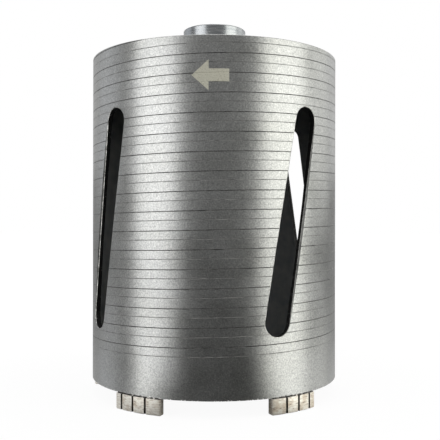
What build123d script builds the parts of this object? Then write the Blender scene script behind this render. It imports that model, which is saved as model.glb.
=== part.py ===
from build123d import *
from math import degrees
import os

# A dry diamond core bit, standing on its segments with the hub on top.
# Millimetres and degrees. The drill axis is Z, and the segments cut at z = 0.
# Angles run round Z from +X, counter-clockwise seen from the hub end.

# ---- barrel: a steel tube ----
barrel_diameter = 115.6
barrel_wall = 2.2
barrel_length = 148.5
barrel_edge = 0.35  # broken outer edge at the hub end

# ---- dust slots through the barrel, full round at both ends ----
slot_count = 4
slot_width = 11.7
slot_length = 98.0  # overall, along the slot
slot_lean = 10.3  # away from the drill axis
slot_middle = 73.3  # above the cutting rim of the barrel

# ---- end plate, welded flush into the hub end ----
plate_thickness = 6.0
plate_fit = 0.05  # clearance all round in the barrel
plate_groove = 1.4  # weld chamfer on each side of the joint
plate_bead_sink = 0.2  # the dressed bead lies this far below the rim

# ---- hub: a turned boss with a female 1/2 inch BSP thread ----
hub_diameter = 29.8
hub_height = 15.9  # above the end plate
hub_chamfer = 0.6
spigot_diameter = 25.0  # the stem that goes through the plate
spigot_fit = 0.05
spigot_reach = 1.0  # below the underside of the plate
thread_bore = 18.6  # minor diameter
thread_mouth = 21.4  # countersink, just over the major diameter
hub_bead_leg = 3.0

# ---- diamond segments, sintered with grooves staggered outside and inside ----
segment_count = 5
segment_length = 24.0  # round the outer face
segment_thickness = 3.6
segment_height = 6.7
segment_edge = 0.5  # worn chamfer along the two cutting edges
segment_corner = 0.5  # chamfer of the upright corners
first_segment = 201.2
near_pitch = 69.8  # from the first segment to the second, and the rest share what is left
groove_count = 3
groove_width = 0.9
groove_depth = 0.8
groove_pitch = 6.5
groove_shift = 1.75  # of the outer grooves from the middle of the segment

# ---- weld seam between each segment and the rim of the barrel ----
seam_gap = 0.3
seam_leg = 0.45

# ---- radii, heights and angles that follow ----
barrel_radius = barrel_diameter / 2
bore_radius = barrel_radius - barrel_wall
wall_middle = barrel_radius - barrel_wall / 2
rim = segment_height + seam_gap
barrel_top = rim + barrel_length
plate_under = barrel_top - plate_thickness
plate_radius = bore_radius - plate_fit
hub_radius = hub_diameter / 2
hub_top = barrel_top + hub_height
hub_under = plate_under - spigot_reach
spigot_radius = spigot_diameter / 2
segment_outer = wall_middle + segment_thickness / 2
segment_inner = wall_middle - segment_thickness / 2
segment_span = degrees(segment_length / segment_outer)
seam_span = segment_span - 2 * degrees(segment_corner / segment_outer)
far_pitch = (360 - near_pitch) / (segment_count - 1)


def section_plane(angle):
    """The half plane through the drill axis at an angle: x is the radius, y the height."""
    return Plane.XZ.rotated((0, 0, angle))


def wall_plane(angle, height):
    """A plane on the drill axis that faces out at an angle: x runs round the wall, y up."""
    return Plane(origin=(0, 0, height), x_dir=(0, 1, 0), z_dir=(1, 0, 0)).rotated((0, 0, angle))


os.makedirs("parts", exist_ok=True)

# ---- barrel ----
with BuildPart() as barrel:
    with BuildSketch(section_plane(0)):
        with BuildLine():
            Polyline(
                (bore_radius, rim),
                (barrel_radius, rim),
                (barrel_radius, barrel_top - barrel_edge),
                (barrel_radius - barrel_edge, barrel_top),
                (bore_radius + plate_groove, barrel_top),
                (bore_radius, barrel_top - plate_groove),
                close=True,
            )
        make_face()
    revolve(axis=Axis.Z)
    for index in range(slot_count):
        with BuildSketch(wall_plane(index * 360 / slot_count, rim + slot_middle)):
            SlotOverall(slot_length, slot_width, rotation=90 - slot_lean)
        extrude(amount=barrel_diameter, mode=Mode.SUBTRACT)
barrel.part.label = "barrel"
export_step(barrel.part, "parts/barrel.step")

# ---- end plate ----
with BuildPart() as end_plate:
    with BuildSketch(section_plane(0)):
        with BuildLine():
            Polyline(
                (spigot_radius + spigot_fit, plate_under),
                (plate_radius, plate_under),
                (plate_radius, barrel_top - plate_groove),
                (plate_radius - plate_groove, barrel_top),
                (spigot_radius + spigot_fit, barrel_top),
                close=True,
            )
        make_face()
    revolve(axis=Axis.Z)
end_plate.part.label = "end_plate"
export_step(end_plate.part, "parts/end_plate.step")

# ---- bead that fills the groove between the plate and the barrel ----
bead_rise = plate_groove - plate_bead_sink
bead_floor = barrel_top - plate_groove

with BuildPart() as plate_weld:
    with BuildSketch(section_plane(0)):
        with BuildLine():
            Polyline(
                (plate_radius, bead_floor),
                (bore_radius, bead_floor),
                (bore_radius + bead_rise, bead_floor + bead_rise),
                (plate_radius - bead_rise, bead_floor + bead_rise),
                close=True,
            )
        make_face()
    revolve(axis=Axis.Z)
plate_weld.part.label = "plate_weld"
export_step(plate_weld.part, "parts/plate_weld.step")

# ---- hub ----
mouth_depth = (thread_mouth - thread_bore) / 2

with BuildPart() as hub:
    with BuildSketch(section_plane(0)):
        with BuildLine():
            Polyline(
                (thread_bore / 2, hub_under + mouth_depth),
                (thread_mouth / 2, hub_under),
                (spigot_radius, hub_under),
                (spigot_radius, barrel_top),
                (hub_radius, barrel_top),
                (hub_radius, hub_top - hub_chamfer),
                (hub_radius - hub_chamfer, hub_top),
                (thread_mouth / 2, hub_top),
                (thread_bore / 2, hub_top - mouth_depth),
                close=True,
            )
        make_face()
    revolve(axis=Axis.Z)
hub.part.label = "hub"
export_step(hub.part, "parts/hub.step")

# ---- fillet weld round the foot of the hub ----
with BuildPart() as hub_weld:
    with BuildSketch(section_plane(0)):
        with BuildLine():
            Polyline(
                (hub_radius, barrel_top),
                (hub_radius + hub_bead_leg, barrel_top),
                (hub_radius, barrel_top + hub_bead_leg),
                close=True,
            )
        make_face()
    revolve(axis=Axis.Z)
hub_weld.part.label = "hub_weld"
export_step(hub_weld.part, "parts/hub_weld.step")

# ---- segments and their weld seams ----
for index in range(segment_count):
    angle = first_segment
    if index > 0:
        angle += near_pitch + (index - 1) * far_pitch
    turned = 1 if index % 2 else -1  # every other segment is turned end for end

    with BuildPart() as segment:
        with BuildSketch(section_plane(angle - segment_span / 2)) as block:
            with Locations((wall_middle, segment_height / 2)):
                Rectangle(segment_thickness, segment_height)
            chamfer(block.vertices().group_by(Axis.Y)[0], segment_edge)
        revolve(axis=Axis.Z, revolution_arc=segment_span)
        chamfer(segment.edges().filter_by(Axis.Z), segment_corner)
        with BuildSketch():
            for radius, side in ((segment_outer, turned), (segment_inner, -turned)):
                for step in range(groove_count):
                    run = (step - (groove_count - 1) / 2) * groove_pitch + side * groove_shift
                    with PolarLocations(radius, 1, start_angle=angle + degrees(run / radius)):
                        Rectangle(2 * groove_depth, groove_width)
        extrude(amount=segment_height, mode=Mode.SUBTRACT)
    segment.part.label = f"segment_{index + 1}"
    export_step(segment.part, f"parts/segment_{index + 1}.step")

    with BuildPart() as seam:
        with BuildSketch(section_plane(angle - seam_span / 2)):
            with BuildLine():
                Polyline(
                    (bore_radius, rim),
                    (barrel_radius, rim),
                    (barrel_radius, rim + seam_leg),
                    (barrel_radius + seam_leg, segment_height),
                    (bore_radius - seam_leg, segment_height),
                    (bore_radius, rim + seam_leg),
                    close=True,
                )
            make_face()
        revolve(axis=Axis.Z, revolution_arc=seam_span)
    seam.part.label = f"segment_weld_{index + 1}"
    export_step(seam.part, f"parts/segment_weld_{index + 1}.step")
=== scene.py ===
import math
import bpy
import numpy as np
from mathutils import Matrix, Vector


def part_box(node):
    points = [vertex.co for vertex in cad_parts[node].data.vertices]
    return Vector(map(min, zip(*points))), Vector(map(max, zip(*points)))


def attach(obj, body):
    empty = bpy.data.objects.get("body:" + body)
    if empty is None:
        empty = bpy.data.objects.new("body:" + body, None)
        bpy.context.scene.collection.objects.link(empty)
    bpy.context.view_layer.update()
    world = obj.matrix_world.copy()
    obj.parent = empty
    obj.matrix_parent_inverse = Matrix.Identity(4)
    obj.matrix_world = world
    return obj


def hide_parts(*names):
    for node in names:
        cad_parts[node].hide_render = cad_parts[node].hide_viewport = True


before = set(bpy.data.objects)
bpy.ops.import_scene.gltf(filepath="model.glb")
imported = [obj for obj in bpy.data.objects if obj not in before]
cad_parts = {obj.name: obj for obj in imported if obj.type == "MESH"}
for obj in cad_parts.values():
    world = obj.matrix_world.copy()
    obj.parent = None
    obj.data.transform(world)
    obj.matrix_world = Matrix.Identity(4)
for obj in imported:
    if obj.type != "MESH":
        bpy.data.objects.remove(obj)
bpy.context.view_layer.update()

mm = 0.001
turn = 2 * math.pi
scene = bpy.context.scene
print("frame loaded:", len(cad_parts), "nodes")


# camera

cameraPlace = {
    "distance": 0.3497,   # from the drill axis
    "height": 0.0801,     # above the floor
    "heading": -34.9,     # degrees round the axis, 0 looks along +Y
    "aside": -0.458,      # degrees that it looks past the axis
    "tilt": 0.057,
    "roll": -0.08,
    "lens": 59.1,         # mm, on a 36 mm sensor
}


def makeCamera(c):
    # stands at a distance and heading from the axis, and looks level but for its tilt
    data = bpy.data.cameras.new("productCamera")
    data.lens = c["lens"]
    data.sensor_width = 36
    data.clip_start = 0.01
    obj = bpy.data.objects.new("productCamera", data)
    heading = math.radians(c["heading"])
    obj.location = (c["distance"] * math.sin(heading), -c["distance"] * math.cos(heading), c["height"])
    obj.rotation_euler = (math.radians(90 + c["tilt"]), math.radians(c["roll"]),
                          math.radians(c["heading"] + c["aside"]))
    scene.collection.objects.link(obj)
    scene.camera = obj


makeCamera(cameraPlace)
facing = math.radians(cameraPlace["heading"] - 90)   # the angle round the axis that looks at the camera


# node and colour helpers

def linear(hexColor):
    # sRGB hex to linear RGBA
    values = [int(hexColor[i:i + 2], 16) / 255 for i in (1, 3, 5)]
    return tuple(v / 12.92 if v <= 0.04045 else ((v + 0.055) / 1.055) ** 2.4 for v in values) + (1.0,)


def node(tree, kind, settings=None, **links):
    # adds a shader node; settings are its properties or the stops of a colour ramp, links its inputs:
    # a value, a node or (node, output); an input has its name as key, or inN where names repeat
    made = tree.nodes.new("ShaderNode" + kind)
    for key, value in (settings or {}).items():
        if key == "stops":
            elements = made.color_ramp.elements
            while len(elements) < len(value):
                elements.new(0.5)
            for element, (position, color) in zip(elements, value):
                element.position = position
                element.color = linear(color)
        else:
            setattr(made, key, value)
    for key, value in links.items():
        numbered = key.startswith("in") and key[2:].isdigit()
        socket = made.inputs[int(key[2:]) if numbered else key.replace("_", " ")]
        if hasattr(value, "outputs"):
            tree.links.new(value.outputs[0], socket)
        elif isinstance(value, tuple) and hasattr(value[0], "outputs"):
            tree.links.new(value[0].outputs[value[1]], socket)
        else:
            socket.default_value = value
    return made


def newMaterial(name):
    # a node material, its tree and the node that gives the place of each point
    material = bpy.data.materials.new(name)
    material.use_nodes = True
    tree = material.node_tree
    tree.nodes.clear()
    return material, tree, node(tree, "TexCoord")


# mesh helpers

def meshObject(name, points, faces, material, smoothAngle=30):
    # points and faces as an object at the origin, smooth but for edges sharper than the angle
    mesh = bpy.data.meshes.new(name)
    mesh.from_pydata(np.asarray(points).reshape(-1, 3).tolist(), [], faces)
    mesh.validate()
    mesh.polygons.foreach_set("use_smooth", np.ones(len(mesh.polygons), bool))
    mesh.set_sharp_from_angle(angle=math.radians(smoothAngle))
    mesh.materials.append(material)
    obj = bpy.data.objects.new(name, mesh)
    scene.collection.objects.link(obj)
    return obj


def gridFaces(rows, columns, wrapRows=False, wrapColumns=False):
    # quads between neighbours of a grid whose point (row, column) has the index row * columns + column
    r = np.arange(rows if wrapRows else rows - 1)
    c = np.arange(columns if wrapColumns else columns - 1)
    r, c = np.meshgrid(r, c, indexing="ij")
    rNext = (r + 1) % rows
    cNext = (c + 1) % columns
    quads = np.stack([r * columns + c, r * columns + cNext,
                      rNext * columns + cNext, rNext * columns + c], -1)
    return quads.reshape(-1, 4).tolist()


def aroundAxis(radius, angle, height):
    # cylinder coordinates to points
    return np.stack([radius * np.cos(angle), radius * np.sin(angle), height + 0 * angle], -1)


def turned(name, profile, steps, material, smoothAngle=30):
    # a closed profile of (radius, height) carried once round the axis;
    # the profile runs clockwise, seen with the radius to the right and the height up
    profile = np.array(profile, float)
    angles = np.arange(steps) * turn / steps
    radius, angle = np.meshgrid(profile[:, 0], angles)
    height = np.tile(profile[:, 1], (steps, 1))
    points = aroundAxis(radius, angle, height)
    return meshObject(name, points, gridFaces(steps, len(profile), True, True), material, smoothAngle)


def wobble(x, seed, waves=5):
    # a smooth repeatable wander between about -1 and 1, the sum of a few sines of x
    draw = np.random.default_rng(seed)
    total = 0 * x
    for k in range(waves):
        total = total + np.sin(x * (k + 1) * draw.uniform(0.7, 1.3) + draw.uniform(0, turn)) / (k + 1)
    return total / 1.6


# materials

barrelLow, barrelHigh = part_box("barrel")
radius = -barrelLow.x
rim = barrelLow.z
top = barrelHigh.z

paintFinish = {
    "grain": 0.6 * mm,            # a clump of flakes; coarser than real, which would be too fine to see
    "grainHeight": 0.03 * mm,
    "patch": 16 * mm,             # cloudiness left by the spray passes
    "chip": 1.1 * mm,             # chips along the rim, where the paint has come off
    "chipReach": 1.0 * mm,        # they grow rarer up to this height over the rim
}


def silverMetallicPaint(f):
    # aluminium-flake paint sprayed on steel: semi-matt, a fine sparkling grain breaks up its highlights,
    # and along the rim it has chipped down to pale rough steel, flecked with dark painted shade
    material, tree, place = newMaterial("silver metallic paint")
    flake = node(tree, "TexNoise", Vector=(place, "Object"), Scale=1 / f["grain"], Detail=2.0,
                 Roughness=0.6)
    patch = node(tree, "TexNoise", Vector=(place, "Object"), Scale=1 / f["patch"], Detail=3.0)
    grain = node(tree, "ValToRGB", {"stops": [(0.25, "#8C8D8C"), (0.5, "#A6A7A6"), (0.75, "#C3C3C1")]},
                 Fac=(flake, "Fac"))
    cloud = node(tree, "ValToRGB", {"stops": [(0.3, "#ECECEA"), (0.7, "#FFFFFF")]}, Fac=(patch, "Fac"))
    silver = node(tree, "Mix", {"data_type": "RGBA", "blend_type": "MULTIPLY"},
                  in0=1.0, in6=grain, in7=cloud)
    part = node(tree, "SeparateXYZ", Vector=(place, "Object"))
    ragged = node(tree, "TexNoise", Vector=(place, "Object"), Scale=1 / f["chip"], Detail=3.0)
    low = node(tree, "MapRange", Value=(part, "Z"), From_Min=rim, From_Max=rim + f["chipReach"],
               To_Min=0.1, To_Max=-0.35)
    worn = node(tree, "Math", {"operation": "ADD"}, in0=(ragged, "Fac"), in1=low)
    chip = node(tree, "MapRange", Value=worn, From_Min=0.53, From_Max=0.56)
    # in the chips: pale bare steel, and dark specks that are painted shade
    chipSteelAndShade = node(tree, "ValToRGB", {"stops": [(0.42, "#2A2A29"), (0.5, "#F2F1EE")]}, Fac=(flake, "Fac"))
    color = node(tree, "Mix", {"data_type": "RGBA"}, in0=chip, in6=(silver, 2), in7=chipSteelAndShade)
    bare = node(tree, "MapRange", Value=chip, To_Min=1.0, To_Max=0.15)
    sheen = node(tree, "MapRange", Value=(patch, "Fac"), From_Min=0.3, From_Max=0.7,
                 To_Min=0.28, To_Max=0.34)
    gloss = node(tree, "Math", {"operation": "MULTIPLY_ADD"}, in0=chip, in1=0.25, in2=sheen)
    bump = node(tree, "Bump", Height=(flake, "Fac"), Strength=1.0, Distance=f["grainHeight"])
    shader = node(tree, "BsdfPrincipled", Base_Color=(color, 2), Metallic=bare, Roughness=gloss,
                  Normal=bump)
    node(tree, "OutputMaterial", Surface=shader)
    return material


def scoredLine(name, dark, pale):
    # the cut of the scoring tool through the paint: dark and flat beside the paint, the dark partly dirt
    # and partly painted shade of the narrow trough; broken where the cut is shallow, with fine dust in it
    # that pales it where it is seen edge on
    material, tree, place = newMaterial(name)
    speck = node(tree, "TexNoise", Vector=(place, "Object"), Scale=1 / (3.5 * mm), Detail=3.0,
                 Roughness=0.6)
    # dark to pale: the line's tone, partly dirt and partly painted shade of the trough
    tone = node(tree, "ValToRGB", {"stops": [(0.35, dark), (0.68, pale)]}, Fac=(speck, "Fac"))
    shader = node(tree, "BsdfPrincipled", Base_Color=tone, Metallic=0.5, Roughness=0.55,
                  Sheen_Weight=0.6, Sheen_Roughness=0.4)
    node(tree, "OutputMaterial", Surface=shader)
    return material


def laserCutSteel():
    # the faces of the slots: flat black, painted shade of faces turned away from the light, with a few
    # grey specks on its drag lines that are painted glints
    material, tree, place = newMaterial("oxidised laser-cut steel")
    drag = node(tree, "TexNoise", Vector=(place, "Object"), Scale=1 / (1.1 * mm), Detail=3.0)
    # near-black stops: painted shade; the pale stop: painted glints
    tone = node(tree, "ValToRGB", {"stops": [(0.4, "#0C0C0C"), (0.64, "#1A1A19"), (0.72, "#6E6E6B")]},
                Fac=(drag, "Fac"))
    bump = node(tree, "Bump", Height=(drag, "Fac"), Strength=0.6, Distance=0.04 * mm)
    shader = node(tree, "BsdfPrincipled", Base_Color=tone, Metallic=0.0, Roughness=0.7,
                  Specular_IOR_Level=0.3, Normal=bump)
    node(tree, "OutputMaterial", Surface=shader)
    return material


def deburredSteel():
    # the edge of the slots, filed by hand: bare and scratched, a bright thread of uneven strength
    material, tree, place = newMaterial("filed bare steel edge")
    stroke = node(tree, "TexNoise", Vector=(place, "Object"), Scale=1 / (2.4 * mm), Detail=4.0,
                  Roughness=0.65)
    tone = node(tree, "ValToRGB", {"stops": [(0.36, "#5E5E5B"), (0.5, "#ABABA7"), (0.66, "#E8E8E4")]},
                Fac=(stroke, "Fac"))
    bump = node(tree, "Bump", Height=(stroke, "Fac"), Strength=0.6, Distance=0.05 * mm)
    shader = node(tree, "BsdfPrincipled", Base_Color=tone, Metallic=1.0, Roughness=0.32, Normal=bump)
    node(tree, "OutputMaterial", Surface=shader)
    return material


def millScaleSteel():
    # the inside of the rolled tube: unpainted mill scale, cool grey, with a faint mottled sheen
    material, tree, place = newMaterial("unpainted mill-scale steel")
    mottle = node(tree, "TexNoise", Vector=(place, "Object"), Scale=1 / (5 * mm), Detail=4.0,
                  Roughness=0.6)
    tone = node(tree, "ValToRGB", {"stops": [(0.3, "#75787B"), (0.7, "#8E8F8C")]}, Fac=(mottle, "Fac"))
    gloss = node(tree, "MapRange", Value=(mottle, "Fac"), To_Min=0.45, To_Max=0.7)
    bump = node(tree, "Bump", Height=(mottle, "Fac"), Strength=0.3, Distance=0.05 * mm)
    shader = node(tree, "BsdfPrincipled", Base_Color=tone, Metallic=0.6, Roughness=gloss, Normal=bump)
    node(tree, "OutputMaterial", Surface=shader)
    return material


def turnedSteel():
    # bare mild steel straight from the lathe: bright, with fine feed lines and streaks round the axis
    material, tree, place = newMaterial("turned bare steel")
    # the wave node draws 20 lines in 2 pi of height at a scale of 1; this is a line each 0.35 mm
    feed = node(tree, "TexWave", {"bands_direction": "Z"}, Vector=(place, "Object"),
                Scale=turn / 20 / (0.35 * mm), Distortion=0.4, Detail=1.0)
    flat = node(tree, "Mapping", Vector=(place, "Object"), Scale=(1.0, 1.0, 14.0))
    streak = node(tree, "TexNoise", Vector=flat, Scale=1 / (6 * mm), Detail=4.0, Roughness=0.6)
    tone = node(tree, "ValToRGB", {"stops": [(0.3, "#83878B"), (0.5, "#9B9EA0"), (0.7, "#B2B4B5")]},
                Fac=(streak, "Fac"))
    gloss = node(tree, "MapRange", Value=(streak, "Fac"), From_Min=0.3, From_Max=0.7,
                 To_Min=0.2, To_Max=0.32)
    bump = node(tree, "Bump", Height=(feed, "Fac"), Strength=0.2, Distance=0.01 * mm)
    shader = node(tree, "BsdfPrincipled", Base_Color=tone, Metallic=1.0, Roughness=gloss, Normal=bump)
    node(tree, "OutputMaterial", Surface=shader)
    return material


def sinteredBond():
    # bronze and iron powder pressed round diamond grit: pale beige metal, with dark marks along the
    # faces and faint brown patches where the weld's heat reached
    material, tree, place = newMaterial("sintered diamond bond")
    flat = node(tree, "Mapping", Vector=(place, "Object"), Scale=(1.0, 1.0, 4.0))
    scratch = node(tree, "TexNoise", Vector=flat, Scale=1 / (2.2 * mm), Detail=4.0, Roughness=0.65)
    grit = node(tree, "TexVoronoi", Vector=(place, "Object"), Scale=1 / (0.45 * mm))
    streak = node(tree, "ValToRGB", {"stops": [(0.3, "#A3978A"), (0.4, "#E4DCCF"), (0.58, "#FFFCF2")]},
                  Fac=(scratch, "Fac"))
    heat = node(tree, "TexNoise", Vector=(place, "Object"), Scale=1 / (5 * mm), Detail=2.0)
    stain = node(tree, "ValToRGB", {"stops": [(0.36, "#D6C6B4"), (0.52, "#FFFFFF")]}, Fac=(heat, "Fac"))
    warm = node(tree, "Mix", {"data_type": "RGBA", "blend_type": "MULTIPLY"},
                in0=0.6, in6=streak, in7=stain)
    dots = node(tree, "ValToRGB", {"stops": [(0.08, "#A09689"), (0.3, "#FFFFFF")]},
                Fac=(grit, "Distance"))
    color = node(tree, "Mix", {"data_type": "RGBA", "blend_type": "MULTIPLY"},
                 in0=0.5, in6=(warm, 2), in7=dots)
    bump = node(tree, "Bump", Height=(scratch, "Fac"), Strength=0.7, Distance=0.08 * mm)
    shader = node(tree, "BsdfPrincipled", Base_Color=(color, 2), Metallic=0.6, Roughness=0.42,
                  Normal=bump)
    node(tree, "OutputMaterial", Surface=shader)
    return material


def paintedGrooveShade():
    # painted shade in the moulded grooves: matt dark brown
    material, tree, place = newMaterial("burnt groove residue")
    speck = node(tree, "TexNoise", Vector=(place, "Object"), Scale=1 / (0.8 * mm), Detail=3.0)
    tone = node(tree, "ValToRGB", {"stops": [(0.3, "#2E2822"), (0.7, "#51473B")]}, Fac=(speck, "Fac"))
    shader = node(tree, "BsdfPrincipled", Base_Color=tone, Metallic=0.1, Roughness=0.8)
    node(tree, "OutputMaterial", Surface=shader)
    return material


def weldMetal():
    # laser weld seam: nearly black, partly heat tint and partly painted shade of the joint between
    # segment and rim, bright in the few places where it was wiped clean
    material, tree, place = newMaterial("weld metal, heat tint and painted joint shade")
    heat = node(tree, "TexNoise", Vector=(place, "Object"), Scale=1 / (1.4 * mm), Detail=3.0)
    # the dark stops: heat tint and painted shade of the joint
    tone = node(tree, "ValToRGB", {"stops": [(0.5, "#1E1B18"), (0.6, "#4A4640"), (0.7, "#F4F2ED")]},
                Fac=(heat, "Fac"))
    bump = node(tree, "Bump", Height=(heat, "Fac"), Strength=0.6, Distance=0.05 * mm)
    shader = node(tree, "BsdfPrincipled", Base_Color=tone, Metallic=0.4, Roughness=0.45, Normal=bump)
    node(tree, "OutputMaterial", Surface=shader)
    return material


def printedInk():
    # pad-printed marking ink, pale putty and satin, with pinholes where the rough paint shows through
    material, tree, place = newMaterial("pad-printed marking ink")
    speck = node(tree, "TexNoise", Vector=(place, "Object"), Scale=1 / (0.5 * mm), Detail=2.0)
    tone = node(tree, "ValToRGB", {"stops": [(0.25, "#B9B7A6"), (0.45, "#D2D0BF"), (0.8, "#DEDCCC")]},
                Fac=(speck, "Fac"))
    bump = node(tree, "Bump", Height=(speck, "Fac"), Strength=0.6, Distance=0.02 * mm)
    shader = node(tree, "BsdfPrincipled", Base_Color=tone, Metallic=0.0, Roughness=0.5, Normal=bump)
    node(tree, "OutputMaterial", Surface=shader)
    return material


paint = silverMetallicPaint(paintFinish)
scored = scoredLine("dusty scored steel", "#343433", "#7C7C7A")
faintScored = scoredLine("faint scored paint with painted groove shade", "#646463", "#A4A4A1")
cutSteel = laserCutSteel()
filedEdge = deburredSteel()
inside = millScaleSteel()
steel = turnedSteel()
bond = sinteredBond()
residue = paintedGrooveShade()
weld = weldMetal()
ink = printedInk()
print("materials made")


# barrel

barrelSizes = {
    "wall": 2.2 * mm,
    "topEdge": 0.2 * mm,          # the chamfer round the closed end
    "weldGroove": 1.4 * mm,       # the bevel inside the closed end, under the plate's bead
    "slotCount": 4,
    "slotWidth": 11.7 * mm,
    "slotLength": 98.0 * mm,
    "slotLean": math.radians(10.3),
    "slotMiddle": 73.3 * mm,      # above the rim
    "slotArc": 25,                # points round each end of a slot
    "edgeFacet": 0.15 * mm,       # width of the two facets filed on the slots' edge
    "edgeTilts": (math.radians(42), math.radians(20)),   # their lean against the wall, inner first
    "edgeRuns": (1, 1.3),         # the cut facets in widths; the outer one runs on past the wall
    "cutterInside": 3 * mm,       # how far the slots' cutters reach inside the bore
    "cutterOutside": 2 * mm,      # and outside the wall
    "spare": 1 * mm,              # the tube's section reaches this far outside the wall
    "sharpAngle": 12,
    "columns": 240,               # round the axis
}

spiral = {
    "pitch": 7.96 * mm,
    "strongStart": 21.6 * mm,     # height above the rim where the strong line passes the camera side
    "weakRise": 4.28 * mm,        # the weak line runs this far above the strong one
    "strongWidth": 0.38 * mm,
    "strongDepth": 0.12 * mm,
    "weakWidth": 0.3 * mm,
    "weakDepth": 0.07 * mm,
    "strongSkip": (0.85, 0.25, 1.3),   # mean share of the depth that is cut, its wander and its pace
    "weakSkip": (0.75, 0.4, 1.7),
    "lowest": 15.5 * mm,          # both lines begin at this height over the rim
    "fade": 1.5 * mm,             # and have their full depth this far above it
}


def lineOffset(angle, height, rise):
    # height between a point and the nearest turn of a line, which climbs one pitch a turn:
    # the point's height over the line less the nearest number of whole pitches
    s = spiral
    across = height - rim - s["strongStart"] - rise - s["pitch"] * (angle - facing) / turn
    return np.abs((across + s["pitch"] / 2) % s["pitch"] - s["pitch"] / 2)


def scoreDepth(angle, height):
    # depth of the two scored lines: a trough with a flat floor and sloping sides, faded out near the rim,
    # deeper and shallower along the way as the tool skipped
    s = spiral
    way = (height - rim) / s["pitch"] * turn
    share, wander, pace = s["strongSkip"]
    strongSkip = share + wander * wobble(way * pace, 5)
    share, wander, pace = s["weakSkip"]
    weakSkip = share + wander * wobble(way * pace, 6)
    strong = (s["strongWidth"] / 2 - lineOffset(angle, height, 0.0)) / (s["strongWidth"] / 4)
    weak = (s["weakWidth"] / 2 - lineOffset(angle, height, s["weakRise"])) / (s["weakWidth"] / 4)
    depth = np.maximum(s["strongDepth"] * strongSkip * np.clip(strong, 0, 1),
                       s["weakDepth"] * np.clip(weakSkip, 0.1, 1) * np.clip(weak, 0, 1))
    return depth * np.clip((height - rim - s["lowest"]) / s["fade"], 0, 1)


def scoredCylinder(b, s):
    # a closed cylinder whose rows climb with the spiral: point (column, row) stands at the column's
    # angle, at the row's height plus the share of one pitch that the angle has run; the last column
    # joins the first one pitch higher, and the ends are closed by fans and cut off later
    lines = []
    for rise, width in ((0.0, s["strongWidth"]), (s["weakRise"], s["weakWidth"])):
        lines += [rise - width / 2, rise - width / 4, rise + width / 4, rise + width / 2]
    lines += [s["weakRise"] / 2, (s["weakRise"] + s["pitch"]) / 2]
    lines = np.sort(np.array(lines))
    perPitch = len(lines)
    pitches = int(math.ceil((top - rim) / s["pitch"])) + 4   # reaches past both ends of the tube
    heights = (np.arange(pitches)[:, None] * s["pitch"] + lines[None, :]).ravel()
    n = b["columns"]
    rows = len(heights)
    first = rim + s["strongStart"] - s["pitch"] * (math.ceil(s["strongStart"] / s["pitch"]) + 1)
    share = np.arange(n) / n
    angle, level = np.meshgrid(facing + share * turn, heights, indexing="ij")
    height = first + level + s["pitch"] * share[:, None]
    points = aroundAxis(radius - scoreDepth(angle, height), angle, height).reshape(-1, 3)
    index = np.arange(n * rows).reshape(n, rows)
    beside = np.vstack([index[1:], np.full(rows, -1)])
    beside[-1, :rows - perPitch] = index[0, perPitch:]
    quads = np.stack([index[:, :-1], beside[:, :-1], beside[:, 1:], index[:, 1:]], -1).reshape(-1, 4)
    quads = quads[(quads >= 0).all(1)]
    lowLoop = np.concatenate([index[:, 0], index[0, perPitch:0:-1]])
    highLoop = np.concatenate([index[:, -1], index[-1, rows - 2:rows - perPitch - 2:-1]])
    lowMiddle, highMiddle = n * rows, n * rows + 1
    points = np.vstack([points, [0, 0, first], [0, 0, first + heights[-1]]])
    lowFan = np.stack([np.full(len(lowLoop), lowMiddle), np.roll(lowLoop, -1), lowLoop], -1)
    highFan = np.stack([np.full(len(highLoop), highMiddle), highLoop, np.roll(highLoop, -1)], -1)
    faces = quads.tolist() + lowFan.tolist() + highFan.tolist()
    return meshObject("scoredCylinder", points, faces, paint)


def slotCutters(b):
    # four plugs: the slot's outline, a straight run with a half circle at each end, leant over and
    # carried out through the wall; where it leaves, it widens in two steps, the facets of the edge
    half = b["slotWidth"] / 2
    straight = b["slotLength"] / 2 - half
    arc = np.linspace(0, math.pi, b["slotArc"])
    r = radius - b["edgeFacet"] * sum(math.sin(tilt) for tilt in b["edgeTilts"])
    wider = 0
    levels = [(radius - b["wall"] - b["cutterInside"], 0), (r, wider)]
    for tilt, run in zip(b["edgeTilts"], b["edgeRuns"]):
        r = r + run * b["edgeFacet"] * math.sin(tilt)
        wider = wider + run * b["edgeFacet"] * math.cos(tilt)
        levels.append((r, wider))
    levels.append((radius + b["cutterOutside"], wider + b["cutterOutside"] / 2))
    points = []
    faces = []
    for k in range(b["slotCount"]):
        for r, wider in levels:
            across = (half + wider) * np.concatenate([np.cos(arc), -np.cos(arc)])
            along = (half + wider) * np.concatenate([np.sin(arc), -np.sin(arc)])
            along = along + straight * np.repeat([1, -1], len(arc))
            run = across * math.cos(b["slotLean"]) + along * math.sin(b["slotLean"])
            rise = along * math.cos(b["slotLean"]) - across * math.sin(b["slotLean"])
            angle = k * turn / b["slotCount"] + np.arcsin(run / radius)
            points.append(aroundAxis(r, angle, rim + b["slotMiddle"] + rise))
        count = len(arc) * 2
        start = k * count * len(levels)
        ring = gridFaces(len(levels), count, False, True)
        faces += [[start + i for i in quad] for quad in ring]
        faces += [list(range(start + count - 1, start - 1, -1))]
        last = start + (len(levels) - 1) * count
        faces += [list(range(last, last + count))]
    return meshObject("slotCutters", np.vstack(points), faces, paint)


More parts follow.
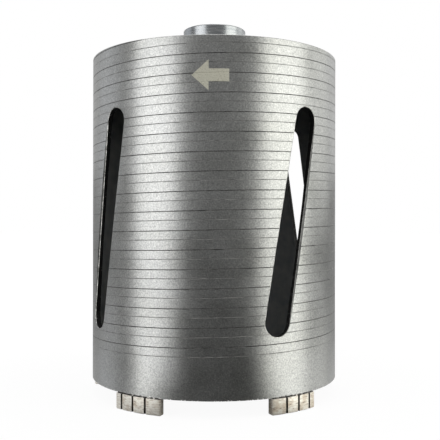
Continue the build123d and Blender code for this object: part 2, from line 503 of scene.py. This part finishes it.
def slotDistance(angle, height, b):
    # how far a point of the wall is from the nearest slot's outline, negative inside it: the distance
    # to the straight line between the centres of the two half circles, less the half width
    nearest = 1.0
    for k in range(b["slotCount"]):
        away = angle - k * turn / b["slotCount"]
        facingSlot = np.cos(away) > 0
        run = radius * np.sin(away)
        rise = height - rim - b["slotMiddle"]
        across = run * math.cos(b["slotLean"]) - rise * math.sin(b["slotLean"])
        along = run * math.sin(b["slotLean"]) + rise * math.cos(b["slotLean"])
        beyond = np.maximum(np.abs(along) - (b["slotLength"] - b["slotWidth"]) / 2, 0)
        distance = np.hypot(across, beyond) - b["slotWidth"] / 2
        nearest = np.minimum(nearest, np.where(facingSlot, distance, 1.0))
    return nearest


def bakeModifiers(obj):
    # replaces the mesh by its modified one
    graph = bpy.context.evaluated_depsgraph_get()
    baked = bpy.data.meshes.new_from_object(obj.evaluated_get(graph))
    obj.modifiers.clear()
    obj.data = baked
    return baked


def readAll(items, what, kind=float, width=1):
    # one property of all faces, corners or points as an array
    values = np.empty(len(items) * width, kind)
    items.foreach_get(what, values)
    return values.reshape(-1, width) if width > 1 else values


onWall = 0.995   # a face whose outward share is above this lies on the round wall


def roundNormals(mesh, outward):
    # faces that lie on the round wall, outside or inside, are shaded with its true normals, straight
    # away from the axis or towards it, so that the thin pieces left beside a cut don't show;
    # a normal of zero leaves the mesh's own
    corners = readAll(mesh.loops, "vertex_index", int)
    points = readAll(mesh.vertices, "co", float, 3)[corners]
    outward = np.repeat(outward, readAll(mesh.polygons, "loop_total", int))
    away = np.hypot(points[:, 0], points[:, 1])
    side = np.where(outward > onWall, 1.0, np.where(outward < -onWall, -1.0, 0.0)) / away
    normals = np.column_stack([points[:, 0] * side, points[:, 1] * side, 0 * side])
    mesh.normals_split_custom_set(normals.tolist())


def makeBarrel(b):
    # the scored cylinder, kept where it lies in the tube's turned section, less the four slots;
    # then each face takes its finish from where it lies and how it faces
    shell = scoredCylinder(b, spiral)
    bore = radius - b["wall"]
    beyond = radius + b["spare"]
    section = turned("tubeSection", [
        (bore, rim),
        (bore, top - b["weldGroove"]),
        (bore + b["weldGroove"], top),
        (radius - b["topEdge"], top),
        (beyond, top - b["topEdge"] - b["spare"]),
        (beyond, rim),
    ], b["columns"], paint)
    cutters = slotCutters(b)
    for tool, operation in ((section, "INTERSECT"), (cutters, "DIFFERENCE")):
        modifier = shell.modifiers.new(tool.name, "BOOLEAN")
        modifier.solver = "EXACT"
        modifier.operation = operation
        modifier.object = tool
    mesh = bakeModifiers(shell)
    bpy.data.objects.remove(section)
    bpy.data.objects.remove(cutters)
    shell.name = mesh.name = "barrelTube"
    mesh.materials.clear()
    count = len(mesh.polygons)
    centre = readAll(mesh.polygons, "center", float, 3)
    normal = readAll(mesh.polygons, "normal", float, 3)
    angle = np.arctan2(centre[:, 1], centre[:, 0])
    height = centre[:, 2]
    away = np.hypot(centre[:, 0], centre[:, 1])
    outward = (centre[:, :2] * normal[:, :2]).sum(1) / away
    # outward is 1 where a face looks straight away from the axis and -1 where it looks at the axis
    midway = (height > rim + 1 * mm) & (height < top - 3 * mm)   # where the slots are
    sunk = (outward > 0.5) & (away < radius - 0.01 * mm) & (height < top - b["topEdge"] * 1.1)
    strong = lineOffset(angle, height, 0.0) < spiral["pitch"] / 8   # the rest is the weak line
    besideSlot = slotDistance(angle, height, b) < 2.1 * b["edgeFacet"]
    finishes = (paint, scored, faintScored, cutSteel, inside, filedEdge)
    for material in finishes:
        mesh.materials.append(material)
    kind = np.full(count, finishes.index(paint))
    kind[sunk & strong] = finishes.index(scored)
    kind[sunk & ~strong] = finishes.index(faintScored)
    kind[sunk & besideSlot & (outward < 0.97)] = finishes.index(filedEdge)
    # the slots' cut faces, turned sideways to the wall, take the near-black painted shade
    kind[midway & (outward < 0.5)] = finishes.index(cutSteel)
    kind[outward < -0.95] = finishes.index(inside)
    mesh.polygons.foreach_set("material_index", kind)
    mesh.polygons.foreach_set("use_smooth", np.ones(count, bool))
    mesh.set_sharp_from_angle(angle=math.radians(b["sharpAngle"]))
    roundNormals(mesh, outward)
    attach(shell, "root")
    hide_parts("barrel")
    print("barrel:", count, "faces")


makeBarrel(barrelSizes)


# hub and its thread

hubLow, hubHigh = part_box("hub")

hubSizes = {
    "chamfer": 0.25 * mm,        # at the outer edge
    "spigot": 12.5 * mm,         # radius of the stem through the plate
    "minor": 9.3 * mm,           # radius over the crests of the 1/2 inch BSP thread
    "major": 10.48 * mm,         # radius at the roots of the thread
    "mouth": 10.7 * mm,          # radius where the bore opens
    "mouthLow": 1.2 * mm,        # the opening begins this far below the face
    "mouthHigh": 0.6 * mm,       # and has its full width here
    "threadPitch": 25.4 / 14 * mm,
    "threadCrest": 0.16,         # half width of the ridge at its crest, in half pitches
    "threadFoot": 0.92,          # and at its foot
    "threadLow": 0.9 * mm,       # the thread keeps this far from the lower end
    "threadHigh": 1.4 * mm,      # and this far from the face
    "stepsPerTurn": 60,
    "round": 0.12 * mm,          # the broken edges
    "steps": 180,                # round the axis
    "sharpAngle": 12,
}


def makeHub(h):
    # a turned profile: up the bore, out over the face, down the boss, in under it and down the stem
    outer = hubHigh.x
    low, high = hubLow.z, hubHigh.z
    r = h["round"]
    body = turned("hubBoss", [
        (h["major"], low + r),
        (h["major"], high - h["mouthLow"]),
        (h["mouth"], high - h["mouthHigh"]),
        (h["mouth"] + r, high),
        (outer - h["chamfer"] - r, high),
        (outer - h["chamfer"], high - r * 0.4),
        (outer - r * 0.4, high - h["chamfer"]),
        (outer, high - h["chamfer"] - r),
        (outer, top + r),
        (outer - r, top),
        (h["spigot"], top),
        (h["spigot"], low + r),
        (h["spigot"] - r, low),
        (h["mouth"], low),
    ], h["steps"], steel, h["sharpAngle"])
    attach(body, "root")
    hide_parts("hub")


def makeThread(h):
    # the thread's ridge: a flat-topped triangle carried along a helix on the bore,
    # lying down into the bore at both ends over one turn
    low = hubLow.z + h["threadLow"]
    high = hubHigh.z - h["threadHigh"]
    turns = (high - low) / h["threadPitch"]
    u = np.linspace(0, 1, int(turns * h["stepsPerTurn"]) + 1)
    angle = u * turns * turn
    height = low + u * (high - low)
    swell = np.clip(np.minimum(u, 1 - u) * turns, 0.02, 1)
    root = h["major"] + 0.05 * mm + 0 * u
    crest = h["major"] - (h["major"] - h["minor"]) * swell
    radii = np.stack([root, crest, crest, root], -1)
    foot = h["threadFoot"] * h["threadPitch"] / 2 * swell
    flat = h["threadCrest"] * h["threadPitch"] / 2 * swell
    rises = np.stack([-foot, -flat, flat, foot], -1)
    points = aroundAxis(radii, angle[:, None] + 0 * radii, height[:, None] + rises)
    faces = gridFaces(len(u), 4, False, True)
    last = (len(u) - 1) * 4
    faces += [[3, 2, 1, 0], [last, last + 1, last + 2, last + 3]]
    thread = meshObject("hubThread", points, faces, steel, 25)
    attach(thread, "root")


makeHub(hubSizes)
makeThread(hubSizes)
print("hub and thread made")


# ring welds on the closed end

ringWelds = {
    "hubLeg": 3.0 * mm,
    "hubRipple": 1.7 * mm,       # spacing of the solidified ripples
    "hubRippleHeight": 0.05 * mm,
    "hubCrown": 0.35 * mm,       # how far the middle bulges over the line between the toes
    "plateSink": 0.2 * mm,       # the plate's bead fills its groove up to here below the closed end
    "plateRipple": 1.5 * mm,
    "plateRippleHeight": 0.03 * mm,
    "plateCrown": 0.12 * mm,
}


def ringBead(name, inner, outer, lowAt, highAt, crown, ripple, rippleHeight, seed, material):
    # a weld bead laid once round the axis: across it the face is an arc between its two toes, along it
    # the face rises and falls with curved ripples, and a hidden root closes the section
    middle = (inner + outer) / 2
    count = int(round(turn * middle / ripple))
    steps = count * 8
    u = np.arange(steps) / steps * turn
    v = np.linspace(0, 1, 9)
    angle, across = np.meshgrid(u, v, indexing="ij")
    arch = np.sin(across * math.pi)
    lag = 2.2 * (across - 0.5) ** 2 * 4   # bows each ripple: its ends run ahead of its middle
    ripples = np.cos(count * angle + lag + 2.5 * wobble(angle * 5, seed))
    lift = crown * arch * (1 + 0.18 * wobble(angle * 3, seed + 1)) + rippleHeight * ripples * arch
    slope = math.atan2(highAt - lowAt, inner - outer)
    r = outer + (inner - outer) * across + lift * abs(math.sin(slope))
    z = lowAt + (highAt - lowAt) * across + lift * abs(math.cos(slope))
    rootR = np.full((steps, 1), inner)
    rootZ = np.full((steps, 1), lowAt - (0.0 if highAt > lowAt else 1.0 * mm))
    r = np.concatenate([r, rootR], 1)[:, ::-1]
    z = np.concatenate([z, rootZ], 1)[:, ::-1]
    columns = len(v) + 1
    angle = np.repeat(u[:, None], columns, 1)
    faces = gridFaces(steps, columns, True, True)
    return meshObject(name, aroundAxis(r, angle, z), faces, material, 50)


def makeRingWelds(w):
    # a fillet from the plate up the hub, and a nearly flat bead between the plate and the tube
    hubRadius = hubHigh.x
    hubBead = ringBead("hubBead", hubRadius, hubRadius + w["hubLeg"], top, top + w["hubLeg"],
                       w["hubCrown"], w["hubRipple"], w["hubRippleHeight"], 3, paint)
    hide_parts("hub_weld")
    bore = radius - barrelSizes["wall"]
    halfWidth = barrelSizes["weldGroove"] - w["plateSink"]
    level = top - w["plateSink"]
    plateBead = ringBead("plateBead", bore - halfWidth, bore + halfWidth, level, level,
                         w["plateCrown"], w["plateRipple"], w["plateRippleHeight"], 8, paint)
    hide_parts("plate_weld")
    for bead in (hubBead, plateBead):
        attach(bead, "root")


makeRingWelds(ringWelds)
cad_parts["end_plate"].data.materials.clear()
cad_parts["end_plate"].data.materials.append(paint)
print("ring welds and plate made")


# segments

segmentSizes = {
    "count": 5,
    "length": 24.0 * mm,          # round the outer face
    "thickness": 3.6 * mm,
    "height": 6.7 * mm,
    "first": 201.2,               # degrees round the axis to the middle of the first segment
    "nearPitch": 69.8,            # degrees on to the second; the others share the rest evenly
    "corner": 0.5 * mm,           # radius of the upright edges
    "edge": 0.45 * mm,            # worn rounding of the cutting edges
    "grooves": 3,
    "grooveWidth": 0.9 * mm,
    "grooveDepth": 0.8 * mm,
    "groovePitch": 6.5 * mm,
    "grooveShift": 1.75 * mm,     # the grooves of the two faces are shifted apart by twice this
    "draft": 0.08 * mm,           # slope of a groove's sides
    "wander": 0.35,               # how unevenly the edges are worn
    "bendSteps": 5,               # points round a corner or an edge
}


def segmentAngles(s):
    # the first segment's angle, then the near pitch, then equal steps of what is left of the turn
    farPitch = (360 - s["nearPitch"]) / (s["count"] - 1)
    steps = [0] + [s["nearPitch"] + k * farPitch for k in range(s["count"] - 1)]
    return [math.radians(s["first"] + step) for step in steps]


def segmentSide(s, r, inward, shift):
    # one curved side of the plan outline as (run along the arc, radius), with its grooves;
    # inward is the direction from the face into the segment
    outer = radius - barrelSizes["wall"] / 2 + s["thickness"] / 2
    half = s["length"] / 2 * r / outer - s["corner"]
    centres = (np.arange(s["grooves"]) - (s["grooves"] - 1) / 2) * s["groovePitch"] + shift
    w = s["grooveWidth"] / 2
    d = s["draft"]
    edges = (centres[:, None] + np.array([-w - d, -w + d, w - d, w + d])).ravel()
    depths = np.tile([0, s["grooveDepth"], s["grooveDepth"], 0], s["grooves"])
    plain = np.linspace(-half, half, 13)
    plain = plain[(np.abs(plain[:, None] - centres) > w + 3 * d).all(1)]
    run = np.concatenate([edges, plain])
    deep = np.concatenate([depths, 0 * plain])
    order = np.argsort(run, kind="stable")
    return run[order], r + inward * deep[order]


def segmentOutline(s, turnedOver):
    # the closed plan outline, counter-clockwise seen from above: the outer side, a rounded end,
    # the inner side, a rounded end
    middle = radius - barrelSizes["wall"] / 2
    outer = middle + s["thickness"] / 2
    inner = middle - s["thickness"] / 2
    shift = s["grooveShift"] * turnedOver
    outRun, outR = segmentSide(s, outer, -1, shift)
    inRun, inR = segmentSide(s, inner, 1, -shift)
    c = s["corner"]
    bend = np.linspace(0, math.pi / 2, s["bendSteps"])[1:-1]
    end = s["length"] / 2 / outer
    right = end - c / outer
    cornerAngle = right + c / outer * np.sin(bend)
    cornerR = outer - c + c * np.cos(bend)
    innerR = inner + c - c * np.cos(bend)
    angle = np.concatenate([outRun / outer, cornerAngle, [end, end], cornerAngle[::-1],
                            (inRun / inner)[::-1], -cornerAngle, [-end, -end], -cornerAngle[::-1]])
    r = np.concatenate([outR, cornerR, [outer - c, inner + c], innerR[::-1],
                        inR[::-1], innerR, [inner + c, outer - c], cornerR[::-1]])
    return angle, r


def makeSegment(index, middleAngle, s):
    # the plan outline carried up: near the cutting face it is drawn in along a quarter circle,
    # unevenly round the segment as wear leaves it, then the sides rise straight to the rim
    name = f"segment_{index + 1}"
    angle, r = segmentOutline(s, 1 if index % 2 else -1)
    flat = np.stack([r * np.cos(angle), r * np.sin(angle)], -1)
    ahead = np.roll(flat, -1, 0) - np.roll(flat, 1, 0)
    outward = np.stack([ahead[:, 1], -ahead[:, 0]], -1) / np.linalg.norm(ahead, axis=1)[:, None]
    wear = s["edge"] * (1 + s["wander"] * wobble(angle * 40 + index, 20 + index))
    rows = []
    for bend in np.linspace(0, math.pi / 2, s["bendSteps"]):
        inset = wear * (1 - math.sin(bend))
        rise = s["edge"] * (1 - math.cos(bend))
        rows.append(np.column_stack([flat - outward * inset[:, None], np.full(len(flat), rise)]))
    rows.append(np.column_stack([flat, np.full(len(flat), s["height"])]))
    points = np.stack(rows)
    cosine = math.cos(middleAngle)
    sine = math.sin(middleAngle)
    x = points[..., 0].copy()
    y = points[..., 1].copy()
    points[..., 0] = cosine * x - sine * y
    points[..., 1] = sine * x + cosine * y
    count = len(flat)
    faces = gridFaces(len(rows), count, False, True)
    faces += [list(range(count - 1, -1, -1)), list(range((len(rows) - 1) * count, len(rows) * count))]
    obj = meshObject(name + "_block", points, faces, bond, 35)
    obj.data.materials.append(residue)
    # the painted groove shade lies on the faces that touch a groove's floor: points well away from both
    # faces, but for those of the rounded ends
    sunk = np.minimum(np.abs(r - r[0]), np.abs(r - r.min())) > 0.5 * s["grooveDepth"]
    sunk &= np.abs(angle) < angle.max() * 0.96
    groove = sunk | np.roll(sunk, -1)
    kind = np.concatenate([np.tile(groove, len(rows) - 1).astype(int), [0, 0]])
    obj.data.polygons.foreach_set("material_index", kind)
    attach(obj, "root")
    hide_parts(name)


segmentMiddles = segmentAngles(segmentSizes)
for index, middleAngle in enumerate(segmentMiddles):
    makeSegment(index, middleAngle, segmentSizes)
print("segments made")


# weld seams under the rim

seamSizes = {
    "leg": 0.22 * mm,
    "wander": 0.3,                # how much the beads swell and shrink
    "steps": 91,                  # along a seam
    "spatterPerSegment": 3,
    "spatterSize": 0.22 * mm,
    "spatterOut": 0.1 * mm,       # a drop's middle stands this far off the wall
    "spatterRise": 0.5 * mm,      # and at most this far over the rim
}


def makeSeam(index, middleAngle, w, s):
    # the seam's section, a film between segment and rim with a small bead on either side, carried
    # along the segment's arc while the beads swell and shrink; the spatter is flattened balls
    name = f"segment_weld_{index + 1}"
    bore = radius - barrelSizes["wall"]
    outer = radius + (s["thickness"] - barrelSizes["wall"]) / 2
    half = (s["length"] / 2 - s["corner"]) / outer
    u = np.linspace(-half, half, w["steps"])
    low = s["height"]
    swellOut = w["leg"] * (1 + w["wander"] * wobble(u * 60, 40 + index, 7))
    swellIn = w["leg"] * (1 + w["wander"] * wobble(u * 60, 60 + index, 7))
    still = 0 * u
    r = np.stack([radius + still, radius + 0.7 * swellOut, radius + swellOut, radius + still,
                  bore + still, bore - swellIn, bore - 0.7 * swellIn, bore + still], -1)
    z = np.stack([rim + swellOut, low + 0.75 * swellOut, low + still, low + still,
                  low + still, low + still, low + 0.75 * swellIn, rim + swellIn], -1)
    points = aroundAxis(r, (middleAngle + u)[:, None] + 0 * r, z)
    faces = gridFaces(len(u), 8, False, True)
    last = (len(u) - 1) * 8
    faces += [list(range(7, -1, -1)), list(range(last, last + 8))]
    points = points.reshape(-1, 3)
    draw = np.random.default_rng(80 + index)
    theta, phi = np.meshgrid(np.arange(8) / 8 * turn, np.linspace(-1.2, 1.2, 5), indexing="ij")
    for k in range(w["spatterPerSegment"]):
        at = middleAngle + draw.uniform(-1, 1) * half
        size = w["spatterSize"] * draw.uniform(0.6, 1.3)
        flat = draw.uniform(0.9, 1.8)
        dropR = radius + w["spatterOut"] + size * 0.6 * np.cos(phi) * np.cos(theta)
        dropAngle = at + size * flat * np.cos(phi) * np.sin(theta) / radius
        dropZ = rim + draw.uniform(0.0, 1.0) * w["spatterRise"] + size * np.sin(phi)
        drop = aroundAxis(dropR, dropAngle, dropZ).reshape(-1, 3)
        start = len(points)
        ring = gridFaces(8, 5, True, False)
        faces += [[start + i for i in quad] for quad in ring]
        faces += [[start + i * 5 for i in range(7, -1, -1)], [start + i * 5 + 4 for i in range(8)]]
        points = np.vstack([points, drop])
    obj = meshObject(name + "_bead", points, faces, weld, 60)
    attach(obj, "root")
    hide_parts(name)


for index, middleAngle in enumerate(segmentMiddles):
    makeSeam(index, middleAngle, seamSizes, segmentSizes)
print("weld seams made")


# direction arrow

arrow = {
    "angle": math.radians(-1.65),    # of its middle, from the camera side
    "height": 132.1 * mm,            # above the rim
    "length": 15.4 * mm,
    "headLength": 7.0 * mm,
    "headWidth": 12.5 * mm,
    "shaftWidth": 5.2 * mm,
    "film": 0.03 * mm,               # the ink stands this far off the wall, and sinks as far into it
    "step": 0.16 * mm,
    "tip": 0.02 * mm,                # least half width
}


def makeArrow(a):
    # a block arrow printed round the wall, pointing the way the bit turns: at each step along it the
    # half width is the shaft's, or in the head falls from the barb to the tip; it follows the scoring
    points = []
    faces = []
    start = 0
    head = a["headLength"]
    for low, high, halfWidth in ((0, head, lambda x: a["headWidth"] / 2 * x / head),
                                 (head, a["length"], lambda x: a["shaftWidth"] / 2 + 0 * x)):
        x = np.linspace(low, high, int((high - low) / a["step"]) + 1)
        v = np.linspace(-1, 1, int(a["headWidth"] / a["step"]) + 1)
        run, across = np.meshgrid(x, v, indexing="ij")
        rise = across * np.maximum(halfWidth(run), a["tip"])
        angle = facing + a["angle"] + (run - a["length"] / 2) / radius
        height = rim + a["height"] + rise
        r = radius - scoreDepth(angle, height)
        grid = aroundAxis(r + a["film"], angle, height).reshape(-1, 3)
        back = aroundAxis(r - a["film"], angle, height).reshape(-1, 3)
        rows, columns = run.shape
        count = rows * columns
        quads = np.array(gridFaces(rows, columns))[:, ::-1]
        index = np.arange(count).reshape(rows, columns)
        border = np.concatenate([index[:, 0], index[-1, 1:], index[-2::-1, -1], index[0, -2:0:-1]])
        ahead = np.roll(border, -1)
        sides = np.stack([border, border + count, ahead + count, ahead], -1)
        faces += (np.concatenate([quads, quads[:, ::-1] + count, sides]) + start).tolist()
        points += [grid, back]
        start += 2 * count
    obj = meshObject("directionArrow", np.vstack(points), faces, ink, 40)
    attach(obj, "root")


makeArrow(arrow)
print("arrow made")


# floor, world and lamps

studio = {
    "worldLight": 0.35,
    "cardGlow": 0.94,            # how white the camera sees the floor near the object, without the lamps
    "glowNear": 0.1,             # metres from the axis where it starts to grow whiter
    "glowFar": 0.5,              # and where it is white
    "mirrorSide": 0.84,          # how much metal sees of the soft boxes in the floor, to the sides
    "mirrorFront": 0.08,         # and over the darker card in front
    "frontEnds": 22,             # half width of the dark card, in degrees, and where the side has begun
    "sideBegins": 50,
}


def matCard(s):
    # the floor is matt grey card that takes the shadow of the object; the camera sees it paler, and pure
    # white further out, where it meets the white background; metal sees it as a satin sheet
    # that carries the soft boxes on below the object
    material, tree, place = newMaterial("satin studio card")
    path = node(tree, "LightPath")
    away = node(tree, "VectorMath", {"operation": "LENGTH"}, in0=(place, "Object"))
    glow = node(tree, "MapRange", Value=(away, "Value"), From_Min=s["glowNear"],
                From_Max=s["glowFar"], To_Min=s["cardGlow"], To_Max=1.0)
    seen = node(tree, "Math", {"operation": "MULTIPLY"}, in0=(path, "Is Camera Ray"), in1=glow)
    outwards = node(tree, "VectorMath", {"operation": "NORMALIZE"}, in0=(place, "Object"))
    front = node(tree, "VectorMath", {"operation": "DOT_PRODUCT"}, in0=outwards,
                 in1=(math.cos(facing), math.sin(facing), 0.0))
    mirror = node(tree, "MapRange", {"interpolation_type": "SMOOTHSTEP"},
                  Value=(front, "Value"), From_Min=math.cos(math.radians(s["sideBegins"])),
                  From_Max=math.cos(math.radians(s["frontEnds"])),
                  To_Min=s["mirrorSide"], To_Max=s["mirrorFront"])
    toMetal = node(tree, "Math", {"operation": "MULTIPLY"}, in0=(path, "Is Glossy Ray"), in1=mirror)
    card = node(tree, "BsdfDiffuse", Color=linear("#4C4C4C"))
    light = node(tree, "Emission", Strength=seen)
    sheet = node(tree, "BsdfAnisotropic", Color=toMetal, Roughness=0.15)
    both = node(tree, "AddShader", in0=card, in1=light)
    whole = node(tree, "AddShader", in0=both, in1=sheet)
    node(tree, "OutputMaterial", Surface=whole)
    return material


floorSize = {"radius": 4.0, "rings": 8, "spokes": 64, "below": 0.1 * mm}


def makeFloor(f):
    # rings of points round the axis, whose radius grows with the square of an even step
    reach = np.linspace(0.001, 1, f["rings"]) ** 2 * f["radius"]
    r, angle = np.meshgrid(reach, np.arange(f["spokes"]) / f["spokes"] * turn, indexing="ij")
    faces = gridFaces(f["rings"], f["spokes"], False, True)
    faces = [quad[::-1] for quad in faces] + [list(range(f["spokes"]))]
    obj = meshObject("studioFloor", aroundAxis(r, angle, 0 * angle - f["below"]), faces, matCard(studio))


lamps = {
    # azimuth in degrees from the camera side, the rest in metres and watts; the high boxes carry the
    # bright ones on upwards, dimmer, and light the closed end
    "leftBox": {"azimuth": -53, "height": 0.25, "width": 0.73, "tall": 0.46, "watts": 2.65,
                "color": (1, 1, 1)},
    "rightBox": {"azimuth": 65, "height": 0.27, "width": 0.84, "tall": 0.5, "watts": 3.3,
                 "color": (1, 1, 0.94)},
    "leftHigh": {"azimuth": -53, "height": 0.84, "width": 0.73, "tall": 0.64, "watts": 1.5,
                 "color": (1, 1, 1)},
    "rightHigh": {"azimuth": 65, "height": 0.88, "width": 0.84, "tall": 0.64, "watts": 1.7,
                  "color": (1, 1, 0.94)},
    "leftFill": {"azimuth": -112, "height": 0.6, "width": 0.6, "tall": 1.0, "watts": 1.05,
                 "color": (0.93, 0.95, 1)},
    "rightFill": {"azimuth": 108, "height": 0.6, "width": 0.6, "tall": 1.0, "watts": 2.05,
                  "color": (1, 1, 0.96)},
    "leftBack": {"azimuth": -145, "height": 0.66, "width": 0.5, "tall": 1.0, "watts": 0.5,
                 "color": (1, 1, 1)},
    "rightBack": {"azimuth": 140, "height": 0.66, "width": 0.5, "tall": 1.0, "watts": 0.9,
                  "color": (1, 1, 1)},
}
lampDistance = 1.0
overhead = {"height": 1.3, "size": 0.9, "watts": 4.0}


def makeLamp(name, box):
    # an upright soft box that faces the drill axis
    data = bpy.data.lights.new(name, "AREA")
    data.shape = "RECTANGLE"
    data.size = box["width"]
    data.size_y = box["tall"]
    data.energy = box["watts"]
    data.color = box["color"]
    obj = bpy.data.objects.new(name, data)
    angle = facing + math.radians(box["azimuth"])
    obj.location = (lampDistance * math.cos(angle), lampDistance * math.sin(angle), box["height"])
    obj.rotation_euler = (math.radians(90), 0, angle + math.radians(90))
    scene.collection.objects.link(obj)


def makeWorld(s):
    # white to the camera, and even soft light from all round to everything else
    world = bpy.data.worlds.new("studio")
    scene.world = world
    world.use_nodes = True
    tree = world.node_tree
    tree.nodes.clear()
    path = node(tree, "LightPath")
    strength = node(tree, "MapRange", Value=(path, "Is Camera Ray"), To_Min=s["worldLight"], To_Max=1.0)
    background = node(tree, "Background", Color=(1, 1, 1, 1), Strength=strength)
    node(tree, "OutputWorld", Surface=background)


def makeOverhead(box):
    # a soft box straight above the axis, facing down
    data = bpy.data.lights.new("overhead", "AREA")
    data.size = box["size"]
    data.energy = box["watts"]
    obj = bpy.data.objects.new("overhead", data)
    obj.location = (0, 0, box["height"])
    scene.collection.objects.link(obj)


makeFloor(floorSize)
makeWorld(studio)
makeOverhead(overhead)
for name in lamps:
    makeLamp(name, lamps[name])
scene.view_settings.view_transform = "Standard"
print("studio made")
